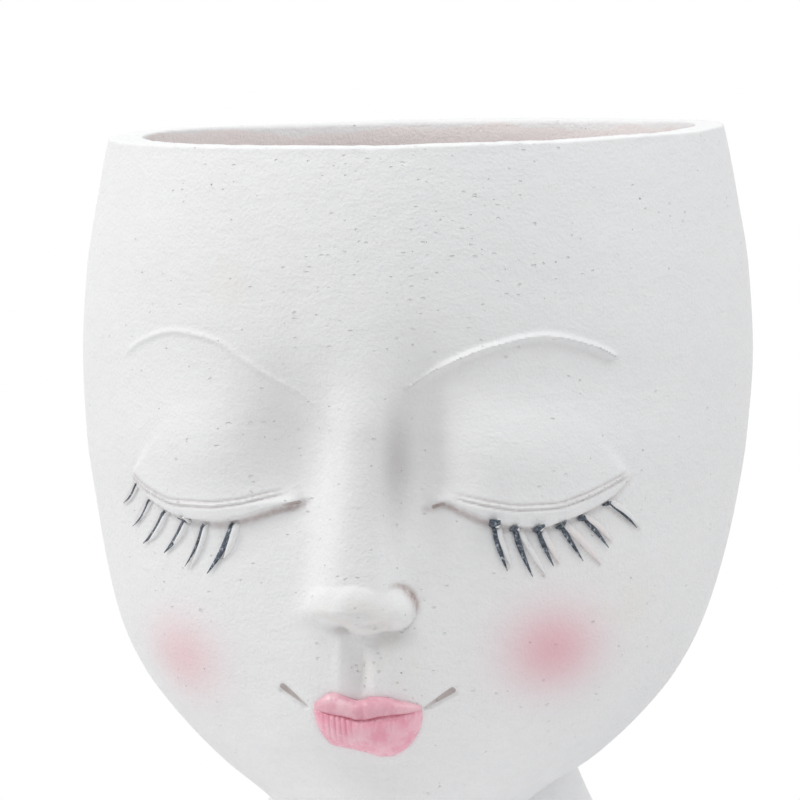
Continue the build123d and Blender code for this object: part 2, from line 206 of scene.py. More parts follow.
def smooth_curve(places, values):
    """A curve through points that never overshoots them, for whole arrays of places."""
    x, y = np.array(places, float), np.array(values, float)
    step = np.diff(x)
    rise = np.diff(y) / step
    slope = np.zeros(len(x))
    for i in range(1, len(x) - 1):
        if rise[i - 1] * rise[i] > 0:
            one, two = 2 * step[i] + step[i - 1], step[i] + 2 * step[i - 1]
            slope[i] = (one + two) / (one / rise[i - 1] + two / rise[i])
    slope[0], slope[-1] = rise[0], rise[-1]

    def value(at):
        at = np.asarray(at, float)
        i = np.clip(np.searchsorted(x, at) - 1, 0, len(x) - 2)
        t = (at - x[i]) / step[i]
        return (
            (2 * t ** 3 - 3 * t ** 2 + 1) * y[i] + (t ** 3 - 2 * t ** 2 + t) * step[i] * slope[i]
            + (3 * t ** 2 - 2 * t ** 3) * y[i + 1] + (t ** 3 - t ** 2) * step[i] * slope[i + 1]
        )

    return value


head_columns = list(zip(*head_shares))
width_at, front_at, back_at, widest_at = [
    smooth_curve(head_columns[0], column) for column in head_columns[1:]
]


def height(share):
    return chin_lift + np.asarray(share, float) * head_height


def egg(z):
    """Half width, front radius, back radius and centre of the plain head at heights."""
    share = (z - chin_lift) / head_height
    widest = -widest_at(share) * half_depth
    front = widest + front_at(share) * half_depth
    rear = back_at(share) * half_depth - widest
    return width_at(share) * half_width, front, rear, widest + head_axis_y


def ease(value, start, end):
    """0 before start, 1 after end, and smooth between them; start may be the larger."""
    t = np.clip((value - start) / (end - start), 0, 1)
    return t * t * (3 - 2 * t)


def swell(x, z, place, size):
    """A soft rise of 1 at an (x, z) place in metres."""
    return np.exp(-(((x - place[0]) / size[0]) ** 2 + ((z - place[1]) / size[1]) ** 2) / 2)


def trace(path, count=160):
    """A smooth dense line through (along, height) points in metres."""
    path = np.array(path, float)
    reach = np.concatenate([[0], np.cumsum(np.hypot(*np.diff(path, axis=0).T))])
    at = np.linspace(0, reach[-1], count)
    return np.stack([smooth_curve(reach, path[:, 0])(at), smooth_curve(reach, path[:, 1])(at)], 1)


def from_line(line, s, z, reach):
    """Signed distance above a line and share along it, for the points near it; others are far."""
    away, share = np.full(s.shape, 1.0), np.zeros(s.shape)
    near = (s > line[:, 0].min() - reach) & (s < line[:, 0].max() + reach)
    near &= (z > line[:, 1].min() - reach) & (z < line[:, 1].max() + reach)
    ps, pz = s[near], z[near]
    gap = np.hypot(ps[:, None] - line[None, :, 0], pz[:, None] - line[None, :, 1])
    i = gap.argmin(1)
    j = np.clip(i, 1, len(line) - 2)
    way = line[j + 1] - line[j - 1]
    side = np.sign(way[:, 0] * (pz - line[i, 1]) - way[:, 1] * (ps - line[i, 0]))
    away[near] = gap.min(1) * np.where(side == 0, 1, side)
    share[near] = i / (len(line) - 1)
    return away, share


# Places on the face: across in shares of a quarter turn, up in shares of the head's height.
face_radius = 0.0737
left_brow_shares = [
    (-0.557, 0.688), (-0.473, 0.717), (-0.389, 0.73), (-0.299, 0.721), (-0.228, 0.693),
    (-0.181, 0.672), (-0.136, 0.655), (-0.092, 0.628), (-0.067, 0.598), (-0.058, 0.54),
    (-0.055, 0.48),
]
right_brow_shares = [
    (0.074, 0.655), (0.139, 0.686), (0.229, 0.714), (0.328, 0.728), (0.421, 0.715), (0.483, 0.696),
]
left_fold_shares = [
    (-0.517, 0.538), (-0.438, 0.506), (-0.366, 0.494), (-0.301, 0.494), (-0.242, 0.499),
    (-0.187, 0.509), (-0.148, 0.516),
]
right_fold_shares = [
    (0.148, 0.515), (0.224, 0.502), (0.281, 0.496), (0.34, 0.497), (0.4, 0.508),
    (0.46, 0.526), (0.508, 0.543),
]
left_lid_shares = [
    (-0.513, 0.535), (-0.491, 0.519), (-0.427, 0.491), (-0.357, 0.476), (-0.283, 0.474), (-0.224, 0.483),
    (-0.17, 0.496), (-0.122, 0.505),
]
right_lid_shares = [
    (0.118, 0.498), (0.146, 0.506), (0.184, 0.495), (0.224, 0.483), (0.273, 0.474), (0.323, 0.472),
    (0.376, 0.481), (0.429, 0.496), (0.466, 0.51), (0.512, 0.541),
]
# Each lash: root, tip of its painted stroke, tip of its relief.
left_lash_shares = [
    ((-0.496, 0.521), (-0.562, 0.488), (-0.566, 0.486)), ((-0.458, 0.501), (-0.533, 0.457), (-0.528, 0.462)),
    ((-0.416, 0.485), (-0.498, 0.435), (-0.49, 0.437)), ((-0.359, 0.479), (-0.428, 0.426), (-0.418, 0.432)),
    ((-0.317, 0.472), (-0.37, 0.41), (-0.362, 0.408)), ((-0.252, 0.476), (-0.314, 0.403), (-0.28, 0.425)),
]
right_lash_shares = [
    ((0.234, 0.486), (0.262, 0.415), (0.266, 0.42)), ((0.271, 0.477), (0.31, 0.406), (0.334, 0.406)),
    ((0.314, 0.477), (0.351, 0.419), (0.361, 0.422)), ((0.356, 0.479), (0.412, 0.424), (0.451, 0.418)),
    ((0.402, 0.486), (0.468, 0.44), (0.474, 0.448)), ((0.45, 0.505), (0.533, 0.465), (0.543, 0.463)),
]


def laid(shares):
    """Share places as (along, height) in metres on the unrolled face."""
    return [(across * math.pi / 2 * face_radius, chin_lift + up * head_height) for across, up in shares]


bridge_height, brow_bridge_height, bridge_width = 0.0082, 0.003, 0.006
nose_z, nose_tip_x, nose_tip_radius, nose_tip_out = 0.0902, 0.0006, 0.0055, 0.0092
nose_left_x, nose_left_radius, nose_left_out = -0.0068, 0.0037, 0.0046
nose_right_x, nose_right_radius, nose_right_out = 0.0058, 0.0045, 0.0066
bridge_growth, bridge_lean, bridge_fade, left_steepness, right_steepness = 1.35, -0.0012, 0.3, 3.2, 5.0
roll_lift, ball_fall, tip_blend = 0.0018, 4, 0.0036


def round_max(one, two, blend):
    """The larger of two, with the corner between them rounded over a blend."""
    gap = np.clip(0.5 + 0.5 * (one - two) / blend, 0, 1)
    return two * (1 - gap) + one * gap + blend * gap * (1 - gap)


def bell(away, half):
    """1 on a line and 0 beside it."""
    return np.exp(-((away / half) ** 2))


def ball(gap, radius, stand):
    """How far a ball stands out at a gap from its middle; it falls steeply beside its edge."""
    dome = np.sqrt(np.clip(radius ** 2 - gap ** 2, 0, None))
    return np.where(gap < radius, dome, -ball_fall * (gap - radius)) + stand - radius


def nose(x, z):
    """The nose: a soft bridge that ends in a sideways roll with a tip and two wings."""
    brow_z = height(0.59)
    along = (brow_z - z) / (brow_z - nose_z)
    rise = (bridge_height - brow_bridge_height) * np.clip(along, 0, 1.05) ** bridge_growth
    rise = brow_bridge_height + rise
    above = bell(np.clip(-along, 0, None), bridge_fade)
    spread = bridge_width * (0.82 + 0.36 * np.clip(along, 0, 1.2))
    middle = bridge_lean * np.clip(along, 0, 1)
    steep = np.where(x > middle, right_steepness, left_steepness)
    ridge = rise * above * np.exp(-np.abs((x - middle) / spread) ** steep / 2)
    ridge = ridge * ease(z, nose_z - 0.005, nose_z - 0.0005)
    t = np.clip((x - nose_left_x) / (nose_right_x - nose_left_x), 0, 1)
    lift = 4 * t * (1 - t)
    centre_z = nose_z + 0.0003 - 0.001 * t + 0.0003 * lift
    gap = np.hypot(x - (nose_left_x + t * (nose_right_x - nose_left_x)), z - centre_z)
    radius = nose_left_radius + (nose_right_radius - nose_left_radius) * t + 0.0004 * lift
    stand = nose_left_out + (nose_right_out - nose_left_out) * t + roll_lift * lift
    tip_gap = np.hypot(x - nose_tip_x, (z - nose_z + 0.0004) * 1.05)
    return ridge, round_max(ball(gap, radius, stand), ball(tip_gap, nose_tip_radius, nose_tip_out), tip_blend)


# The mouth across its width, in shares of half the lips' width and of their height, from the
# mouth's level: top of the upper lip, mouth line and bottom of the lower lip.
lip_width, lip_height, mouth_z = 0.0248, 0.014, 0.068
lip_shares = [
    (-0.89, 0.09, 0.01, -0.04), (-0.83, 0.125, 0, -0.23), (-0.7, 0.205, -0.026, -0.43),
    (-0.57, 0.268, -0.042, -0.545), (-0.47, 0.27, -0.054, -0.563), (-0.34, 0.236, -0.066, -0.58),
    (-0.21, 0.19, -0.09, -0.6), (-0.11, 0.166, -0.112, -0.622), (0, 0.192, -0.118, -0.645),
    (0.11, 0.226, -0.098, -0.68), (0.24, 0.234, -0.066, -0.708), (0.42, 0.215, -0.04, -0.7),
    (0.58, 0.17, -0.026, -0.64), (0.74, 0.142, -0.012, -0.52), (0.9, 0.105, 0.012, -0.3),
    (0.985, 0.085, 0.03, -0.06),
]
left_smile_shares = [(-1.44, 0.325), (-1.33, 0.265), (-1.2, 0.18), (-1.08, 0.1), (-0.98, 0.035)]
right_smile_shares = [(0.99, 0.05), (1.12, 0.105), (1.25, 0.18), (1.38, 0.26), (1.47, 0.315)]
lip_columns = list(zip(*lip_shares))
lip_top, lip_line, lip_bottom = [smooth_curve(lip_columns[0], column) for column in lip_columns[1:]]

# Broad forms: how far out, across in shares of half the width, up in shares of the height, spread.
one_sided_forms = [
    (-0.0066, -0.205, 0.564, (0.0076, 0.0105)),  # left eye socket, beside the bridge
    (-0.0078, 0.158, 0.572, (0.005, 0.013)),  # right eye socket
]
two_sided_forms = [
    (0.0026, 0.44, 0.568, (0.014, 0.0085)),  # ball of the closed eye
    (0.0014, 0.5, 0.32, (0.016, 0.013)),  # cheek
    (0.0026, 0, 0.235, (0.015, 0.011)),  # muzzle
    (0.0026, 0, 0.075, (0.012, 0.008)),  # chin
    (-0.0018, 0, 0.135, (0.01, 0.0045)),  # dip under the lower lip
]
left_brow_hollow, right_brow_hollow = 0.0004, 0.0016


def soft_face(x, z):
    """The broad forms of the face, pushed out of the plain head or pressed into it."""
    wide = np.abs(x)
    under_brow = swell(wide, z, (0.43 * half_width, height(0.655)), (0.015, 0.0065)) * ease(wide, 0, 0.01)
    out = -np.where(x > 0, right_brow_hollow, left_brow_hollow) * under_brow
    for at, forms in ((x, one_sided_forms), (wide, two_sided_forms)):
        for stand, across, up, spread in forms:
            out = out + stand * swell(at, z, (across * half_width, height(up)), spread)
    return out


# Small forms about the nose and over the mouth: how far out, how much brown painted shade, place, spread.
small_forms = [
    (-0.0013, 0, (nose_left_x + 0.0024, nose_z - 0.005), (0.0016, 0.0008)),  # left nostril
    (0, 0.2, (nose_left_x + 0.0024, nose_z - 0.0052), (0.0016, 0.0005)),
    (-0.002, 0.16, (0.0034, nose_z - 0.0036), (0.0022, 0.0006)),  # right nostril
    (-0.0026, 0, (nose_right_x - 0.0006, nose_z - 0.0062), (0.003, 0.0016)),  # under the right wing
    (0, 0.12, (nose_right_x - 0.0006, nose_z - 0.0064), (0.003, 0.0014)),
    (-0.0023, 0, (-0.0014, 0.0772), (0.0013, 0.005)),  # groove down to the mouth
    (0.0009, 0, (0.0028, 0.0775), (0.0012, 0.0052)),  # its right ridge
    (0.0006, 0, (-0.0044, 0.0775), (0.0012, 0.005)),  # its left ridge
]
soft_blend, crisp_blend = 0.0058, 0.0006
wing_gap, wing_half, wing_depth, wing_shade = 0.0005, 0.0006, 0.0005, 0.75
# Brows: the shares of their length over which they rise and fade, their stand, the dip below.
brows = [
    (left_brow_shares, (0.08, 0.78), 0.0005, 0.0), (right_brow_shares, (0.03, 0.97), 0.0013, 0.00034),
]
brow_half, brow_dip_reach = 0.00062, 0.0045
lid_stand, lid_height, lid_fade = 0.0018, 0.0032, 0.005
crease_below, crease_half, crease_depth, lid_crease_shade, inner_crease_shade = 0.00056, 0.00072, 0.00055, 0.2, 0.36
corner_reach, corner_depth, corner_shade = (0.0013, 0.0008), 0.0006, 0.3
fold_gap, low_fold_half, high_fold_half, fold_shade = 0.0011, 0.0003, 0.00028, 0.26
low_fold_depth, high_fold_depth, between_folds, between_folds_half = 0.00056, 0.00038, 0.0001, 0.00035
lash_outline_half, lash_outline_shade = 0.00036, 0.24
smile_depth, smile_shade, lip_bed_depth = 0.0008, 0.1, 0.0002


def fine_face(x, z, s):
    """The face's fine relief and its brown painted shade in creases and grooves, for arrays of points."""
    groove_shade = np.zeros(x.shape)
    ridge, body = nose(x, z)
    blend = soft_blend - (soft_blend - crisp_blend) * ease(x, -0.006, 0.006)
    blend = blend * (1 - 0.55 * ease(z, nose_z - 0.0015, nose_z - 0.0045))
    out = round_max(ridge, body, blend)
    for stand, shade_share, place, spread in small_forms:
        form = swell(x, z, place, spread)
        out += stand * form
        groove_shade += shade_share * form
    wing = np.hypot(x - nose_right_x, z - nose_z + 0.0006) - nose_right_radius - wing_gap
    wing = bell(wing, wing_half) * ease(x, nose_right_x - 0.001, nose_right_x + 0.003)
    out -= wing_depth * wing
    groove_shade += wing_shade * wing * ease(z, nose_z - 0.003, nose_z + 0.0015)
    for shares, ends, stand, under in brows:
        away, along = from_line(trace(laid(shares)), s, z, 0.012)
        keep = ease(along, 0, ends[0]) * ease(along, 1, ends[1])
        dip = np.where(away < 0, np.exp(away / brow_dip_reach), 0) * ease(-away, 0.0003, 0.0016)
        out += keep * (stand * bell(away, brow_half) - under * dip)
    for shares, inner_end in ((left_lid_shares, -1), (right_lid_shares, 0)):
        away, along = from_line(trace(laid(shares)), s, z, 0.014)
        keep = ease(along, 0, 0.05) * ease(along, 1, 0.95)
        inward = along if inner_end else 1 - along
        narrow = ease(inward, 0.62, 1.0)
        above = np.clip(away - lid_height * (1 - 0.8 * narrow), 0, None)
        lid = ease(away, -0.00005, 0.00036) * np.exp(-above / (lid_fade * (1 - 0.7 * narrow)))
        crease = keep * bell(away + crease_below, crease_half)
        out += keep * lid_stand * np.where(away > -0.0002, lid, 0) - crease_depth * crease
        groove_shade += crease * (lid_crease_shade + inner_crease_shade * ease(inward, 0.35, 0.95))
        corner_s, corner_z = laid(shares)[inner_end]
        corner = bell(s - corner_s, corner_reach[0]) * bell(z - corner_z + 0.0004, corner_reach[1])
        out -= corner_depth * corner
        groove_shade += corner_shade * corner
    for shares in (left_fold_shares, right_fold_shares):
        away, along = from_line(trace(laid(shares)), s, z, 0.006)
        keep = ease(along, 0, 0.1) * ease(along, 1, 0.9)
        out -= keep * low_fold_depth * bell(away, low_fold_half)
        out -= keep * high_fold_depth * bell(away - fold_gap, high_fold_half)
        out += keep * between_folds * bell(away - fold_gap / 2, between_folds_half)
        groove_shade += keep * fold_shade * (bell(away, low_fold_half) + bell(away - fold_gap, low_fold_half))
    for root, stroke, tip in left_lash_shares + right_lash_shares:
        middle = ((root[0] + tip[0]) / 2, (root[1] + tip[1]) / 2)
        away, along = from_line(trace(laid([root, middle, tip]), 60), s, z, 0.004)
        beside = bell(np.abs(away) - 0.00085 + 0.00055 * along, lash_outline_half)
        groove_shade += lash_outline_shade * beside * ease(along, 0.06, 0.16)
    for shares, outer_end in ((left_smile_shares, 0), (right_smile_shares, 1)):
        line = [(a * lip_width / 2, mouth_z + b * lip_height) for a, b in shares]
        away, along = from_line(trace(line, 80), x, z, 0.004)
        outward = along if outer_end else 1 - along
        cut = np.exp(-((away / (0.00045 + 0.0006 * outward)) ** 4)) * ease(outward, 1, 0.93)
        out -= smile_depth * cut
        groove_shade += smile_shade * cut
    return out, np.clip(groove_shade, 0, 1)


def skin_out(x, y, z):
    """How far the sculpted face stands out of the plain head, and its painted shade in grooves."""
    share, level = x / (lip_width / 2), (z - mouth_z) / lip_height
    bed = ease(share, 0.99, 0.9) * ease(share, -0.9, -0.8)
    bed = bed * ease(level, lip_top(share) + 0.01, lip_top(share) - 0.05)
    bed = bed * ease(level, lip_bottom(share) - 0.01, lip_bottom(share) + 0.05)
    fine, groove_shade = fine_face(x, z, np.arctan2(x, head_axis_y - y) * face_radius)
    return soft_face(x, z) + fine - lip_bed_depth * bed, groove_shade


# Level rows and upright columns of the skin, close together over the face.
turn_degrees = [0.0]
while turn_degrees[-1] < 180:
    last = turn_degrees[-1]
    step = 0.47 if last < 21 else 0.56 if last < 52 else min(0.6 + (last - 52) * 0.05, 3.6)
    turn_degrees.append(last + step)
turn_degrees = np.array(turn_degrees) * 180 / turn_degrees[-1]
turns = np.radians(np.concatenate([-turn_degrees[::-1][:-1], turn_degrees[:-1]]))
low_levels = chin_lift + np.linspace(0.02, 1, 20) ** 1.7 * 0.0235
# Height that each zone of the face reaches up to, and the step between its rows.
zones = [(0.061, 0.0008), (0.0755, 0.00042), (0.0835, 0.0007), (0.098, 0.00042), (0.1035, 0.0006),
         (0.119, 0.00034), (0.132, 0.00075), (0.1475, 0.00034), (0.154, 0.0011)]
face_levels = [low_levels[-1]]
for zone_top, zone_step in zones:
    while face_levels[-1] < zone_top:
        face_levels.append(face_levels[-1] + zone_step)
face_levels = np.array(face_levels[1:])
rim_z = chin_lift + head_height


def rim_height(x, y):
    level = rim_z + math.tan(rim_back_tilt) * (y - head_axis_y) + math.tan(rim_side_tilt) * x
    return level + rim_lift * ease(y, 0.066, 0.015)


def skin_row(z):
    """One level row of the skin; z may differ from column to column."""
    half, front, rear, centre = egg(z)
    x = half * np.sin(turns)
    facing = np.cos(turns) > 0
    depth = np.where(facing, front, rear)
    y = centre - depth * np.cos(turns)
    nx, ny = depth * np.sin(turns), -half * np.cos(turns)
    size = np.hypot(nx, ny)
    out, groove_shade = skin_out(x, y, z + 0 * x)
    out = out * facing * ease(np.cos(turns), 0.0, 0.12)
    return np.stack([x + nx / size * out, y + ny / size * out, z + 0 * x], 1), groove_shade * facing


rows, groove_shades, depths = [], [], []
count, outside, far_inside = len(turns), -0.1, 0.13


def add_row(points, groove_shade=0, depth=outside):
    """The next row of the casting, with its painted groove shade and how deep it lies inside the bowl."""
    rows.append(points)
    groove_shades.append(groove_shade + np.zeros(count))
    depths.append(depth + np.zeros(count))


for z in np.concatenate([low_levels, face_levels]):
    add_row(*skin_row(z))
top = rim_height(rows[-1][:, 0], rows[-1][:, 1]) - rim_outer_round
for again in range(3):
    points = skin_row(top)[0]
    top = rim_height(points[:, 0], points[:, 1]) - rim_outer_round
for share in np.linspace(0, 1, 21)[1:]:
    add_row(*skin_row(face_levels[-1] + (top - face_levels[-1]) * share))


bowl_profile = smooth_curve([up for out, up in bowl_shares], [out for out, up in bowl_shares])


def bowl_wall(z):
    """Radius of the bowl's inside at heights."""
    return bowl_profile((z - bowl_floor) / (rim_z - bowl_floor)) * bowl_radius


def unevenness(points, size, seed):
    """Smooth random lumps between -1 and 1 at points."""
    return np.array([noise.noise(Vector(point) / size + Vector((seed, 2 * seed, -seed))) for point in points])


edge = rows[-1]
around = np.arctan2(edge[:, 0], bowl_y - edge[:, 1])
inner_x, inner_y = bowl_wall(rim_z) * np.sin(around), bowl_y - bowl_wall(rim_z) * np.cos(around)
across = np.stack([edge[:, 0] - inner_x, edge[:, 1] - inner_y], 1)
wall = np.hypot(across[:, 0], across[:, 1])
way = across / wall[:, None]
wear_and_highlight = 1 + 0.45 * unevenness(edge, 0.012, 3.1) + 0.3 * unevenness(edge, 0.0035, 7.7)
dip = 0.00022 * unevenness(edge, 0.02, 5.3) + 0.00016 * unevenness(edge, 0.004, 9.1)
dip = np.where(edge[:, 1] > 0.05, -np.abs(dip), dip)


def rim_row(from_outside, drop, depth=outside):
    """One row over the rim, a distance in from the outside and down from its top."""
    x, y = edge[:, 0] - way[:, 0] * from_outside, edge[:, 1] - way[:, 1] * from_outside
    add_row(np.stack([x, y, rim_height(x, y) - drop + dip], 1), depth=depth)


for turn in np.radians([15, 30, 45, 60, 75, 90]):
    rim_row(rim_outer_round * wear_and_highlight * (1 - np.cos(turn)), rim_outer_round * (1 - np.sin(turn)))
for share in (0.25, 0.5, 0.75):
    near, far = rim_outer_round * wear_and_highlight, wall - rim_inner_round
    rim_row(near + (far - near) * share, 0.00008 * (1 - abs(2 * share - 1)))
worn_round = rim_inner_round * (1 + 1.4 * ease(edge[:, 1], 0.015, 0.06))
for turn in np.radians([0, 30, 60, 90]):
    in_from_outside = wall - worn_round * (1 - np.sin(turn))
    rim_row(in_from_outside, worn_round * (1 - np.cos(turn)), -0.001 * (math.pi / 2 - turn))
for share in np.concatenate([np.linspace(0, 0.3, 12)[1:], np.linspace(0.3, 1, 26)[1:-1]]):
    z_high = rim_height(inner_x, inner_y) - worn_round + dip
    z = z_high + (bowl_floor - z_high) * share
    r = bowl_wall(z)
    x, y = r * np.sin(around), bowl_y - r * np.cos(around)
    lump = 1 + 0.012 * unevenness(np.stack([x, y, z], 1), 0.018, 11.3)
    add_row(np.stack([x * lump, bowl_y + (y - bowl_y) * lump, z], 1), depth=z_high - z)
for share in (0.75, 0.5, 0.25):
    r = bowl_wall(np.array(bowl_floor)) * share
    level = np.full(count, bowl_floor)
    add_row(np.stack([r * np.sin(around), bowl_y - r * np.cos(around), level], 1), depth=far_inside)


def woven(rows_count, ring):
    """Quads between closed rows of points that follow one another."""
    return [
        (i * ring + j, i * ring + (j + 1) % ring, (i + 1) * ring + (j + 1) % ring, (i + 1) * ring + j)
        for i in range(rows_count - 1) for j in range(ring)
    ]


points = np.concatenate(rows)
chin_pole, bowl_pole, last_row = len(points), len(points) + 1, len(points) - count
chin_point = rows[0].mean(0) * (1, 1, 0) + (0, 0, chin_lift)
points = np.concatenate([points, [chin_point, (0, bowl_y, bowl_floor)]])
faces = woven(len(rows), count)
for j in range(count):
    k = (j + 1) % count
    faces += [(chin_pole, k, j), (bowl_pole, last_row + j, last_row + k)]


def new_piece(name, vertices, polygons, values=()):
    """A mesh object with smooth faces and its point attributes."""
    mesh = bpy.data.meshes.new(name)
    mesh.from_pydata([tuple(v) for v in vertices], [], polygons)
    for label, data in values:
        mesh.attributes.new(label, "FLOAT", "POINT").data.foreach_set("value", np.asarray(data, np.float32))
    mesh.polygons.foreach_set("use_smooth", [True] * len(mesh.polygons))
    return new_object(name, mesh)


head = new_piece("head_cup", points, faces, [
    ("groove_shade", np.concatenate(groove_shades + [[0, 0]])),
    ("inside", np.concatenate(depths + [[outside, far_inside]])),
])


def turned(name, profile, y, sides, depth):
    """A closed solid of revolution about an upright axis, from (radius, height) corners."""
    angles = 2 * math.pi * np.arange(sides) / sides
    vertices, polygons, rings = [], [], []
    for radius, z in profile:
        if radius == 0:
            rings.append([len(vertices)] * sides)
            vertices.append((0, y, z))
        else:
            rings.append(list(range(len(vertices), len(vertices) + sides)))
            vertices += [(radius * math.cos(a), y + radius * math.sin(a), z) for a in angles]
    for low, high in zip(rings, rings[1:]):
        for j in range(sides):
            k = (j + 1) % sides
            corners = [low[j], low[k], high[k], high[j]]
            polygons.append([c for n, c in enumerate(corners) if c != corners[n - 1]])
    zeros = np.zeros(len(vertices))
    return new_piece(name, vertices, polygons, [("groove_shade", zeros), ("inside", zeros + depth)])


def cut(piece, tool, operation):
    """Joins a tool to a piece or cuts it away, and removes the tool."""
    change = piece.modifiers.new("change", "BOOLEAN")
    change.operation, change.object, change.solver = operation, tool, "MANIFOLD"
    graph = bpy.context.evaluated_depsgraph_get()
    result = bpy.data.meshes.new_from_object(piece.evaluated_get(graph))
    piece.modifiers.clear()
    piece.data = result
    bpy.data.objects.remove(tool)


foot_top = pad_thickness + foot_edge_height
flare = [(0, pad_thickness), (foot_radius - foot_edge, pad_thickness)]
flare += [(foot_radius - foot_edge * (1 - math.sin(a)), pad_thickness + foot_edge * (1 - math.cos(a)))
          for a in np.radians([22, 45, 67, 90])]
for share in np.linspace(0, 1, 24):
    out = (1 - share) ** flare_power
    flare.append((neck_radius + (foot_radius - neck_radius) * out, foot_top + (flare_top - foot_top) * share))
flare += [(neck_radius, neck_top), (0, neck_top)]
neck = turned("neck", flare, neck_y, 160, outside)
core_spare, core_drop = 0.0012, 0.001
core = [(0, bowl_floor - core_drop)]
for out, up in bowl_shares:
    core.append((out * bowl_radius + core_spare, bowl_floor - core_drop + up * (rim_z - bowl_floor)))
core.append((0, rim_z))
cut(neck, turned("core", core, bowl_y, 120, -outside), "DIFFERENCE")
cut(head, neck, "UNION")
floor_under, drain_top = bowl_floor - floor_thickness, bowl_floor + 0.004
hollow = [
    (0, 0), (foot_radius - neck_wall, 0), (foot_radius - neck_wall, foot_top),
    (neck_radius - neck_wall, floor_under), (drain_radius, floor_under), (drain_radius, drain_top),
    (0, drain_top),
]
cut(head, turned("hollow", hollow, neck_y, 120, -outside), "DIFFERENCE")
head.name = head.data.name = "casting"
head.data.polygons.foreach_set("use_smooth", [True] * len(head.data.polygons))
head.data.set_sharp_from_angle(angle=math.radians(50))


def new_group(name, inputs, outputs, kind="ShaderNodeTree"):
    """A node group with its sockets, its inner inputs and its inner outputs."""
    group = bpy.data.node_groups.new(name, kind)
    for way_in, sockets in (("INPUT", inputs), ("OUTPUT", outputs)):
        for label, socket in sockets:
            group.interface.new_socket(label, in_out=way_in, socket_type="NodeSocket" + socket)
    return group, group.nodes.new("NodeGroupInput").outputs, group.nodes.new("NodeGroupOutput").inputs


def plus(one, two):
    return maths("ADD", one, two)


def times(one, two):
    return maths("MULTIPLY", one, two)


def vector(kind, one, two, output="Vector"):
    """One sum of two vectors, or of a vector and a number."""
    inputs = [(0, one), ("Scale" if kind == "SCALE" else 1, two)]
    return put(home(one, two), "ShaderNodeVectorMath", inputs, operation=kind)[output]


def mottle(place, scale, detail, roughness=0.5, distortion=0.0, output=0):
    """A soft random pattern."""
    return put(place.id_data, "ShaderNodeTexNoise", [
        ("Vector", place), ("Scale", scale), ("Detail", detail), ("Roughness", roughness),
        ("Distortion", distortion),
    ])[output]


def tinted(share, one, two):
    """A colour between two, by a share."""
    return put(share.id_data, "ShaderNodeMix", [(0, share), (6, one), (7, two)], data_type="RGBA")[2]


def coated(shader, colour, roughness, relief, strength=1.0, distance=1.0):
    """Gives a surface its colour, its roughness and its fine relief."""
    tree = shader.id_data
    bump = put(tree, "ShaderNodeBump", [("Strength", strength), ("Distance", distance), ("Height", relief)])
    for label, value in (("Base Color", colour), ("Roughness", roughness), ("Normal", bump[0])):
        tree.links.new(value, shader.inputs[label])


def told(tree, name):
    """A value that a piece's points carry."""
    return put(tree, "ShaderNodeAttribute", attribute_name=name)["Fac"]


# Pits: round holes that air bubbles left, some cells of a random net holding one each.
pits, given, gives = new_group(
    "pits", [("Place", "Vector"), ("Spacing", "Float"), ("Radius", "Float"), ("Share", "Float")],
    [("Pit", "Float")],
)
spread_out = vector("SCALE", given["Place"], maths("DIVIDE", 1.0, given["Spacing"]))
cells = put(pits, "ShaderNodeTexVoronoi", [("Vector", spread_out), ("Scale", 1.0)])
drawn_lots = put(pits, "ShaderNodeSeparateColor", [(0, cells["Color"])])
size = times(plus(drawn_lots[1], 0.4), given["Radius"])
gap = maths("DIVIDE", times(cells["Distance"], given["Spacing"]), size)
chosen = maths("LESS_THAN", drawn_lots[0], given["Share"])
pits.links.new(times(ramped(gap, 1.0, 0.15), chosen), gives["Pit"])

# Spot: a soft round patch at a place, as from an airbrush.
spot, given, gives = new_group(
    "soft_spot", [("Place", "Vector"), ("Centre", "Vector"), ("Reach", "Vector")], [("Spot", "Float")]
)
away = vector("DIVIDE", vector("SUBTRACT", given["Place"], given["Centre"]), given["Reach"])
away = vector("DOT_PRODUCT", away, away, "Value")
spot.links.new(maths("EXPONENT", times(away, -1.0), 0), gives["Spot"])

# Brushed coat: the orange peel of matte paint stippled on by brush, as a height from 0 to 1.
coat, given, gives = new_group(
    "brushed_coat", [("Place", "Vector")], [("Height", "Float"), ("Patch", "Float")]
)
peel = mottle(given["Place"], 1400, 3, 0.55)
stretched = put(coat, "ShaderNodeMapping", [
    ("Vector", given["Place"]), ("Scale", (0.5, 0.5, 1.1)), ("Rotation", (0, 0.35, 0)),
])[0]
streak = mottle(stretched, 420, 2, distortion=0.6)
coat.links.new(plus(times(peel, 0.55), times(streak, 0.45)), gives["Height"])
coat.links.new(mottle(given["Place"], 60, 3), gives["Patch"])


def on_skin(across, up, lift=0.0):
    """The point of the finished skin at a share place, lifted off it, and the way out there."""
    found = []
    for du, dv in ((0, 0), (0.008, 0), (0, 0.004)):
        row = skin_row(chin_lift + (up + dv) * head_height)[0][np.abs(np.degrees(turns)) < 100]
        polar = np.arctan2(row[:, 0], head_axis_y - row[:, 1])
        found.append([np.interp((across + du) * math.pi / 2, polar, column) for column in row.T])
    found = np.array(found)
    out = np.cross(found[1] - found[0], found[2] - found[0])
    out = out / np.linalg.norm(out)
    return found[0] + out * lift, out


def patch_at(place, centre, reach, strength):
    """A soft patch at a place, up to a strength."""
    inputs = [("Place", place), ("Centre", centre), ("Reach", reach)]
    return times(put(place.id_data, "ShaderNodeGroup", inputs, node_tree=spot)[0], strength)


def patch_of(place, across, up, reach, strength):
    """A soft patch on the skin at a share place."""
    return patch_at(place, tuple(on_skin(across, up)[0]), reach, strength)


def pits_of(place, spacing, radius, share):
    """Where pits of a size lie."""
    inputs = [("Place", place), ("Spacing", spacing), ("Radius", radius), ("Share", share)]
    return put(place.id_data, "ShaderNodeGroup", inputs, node_tree=pits)[0]
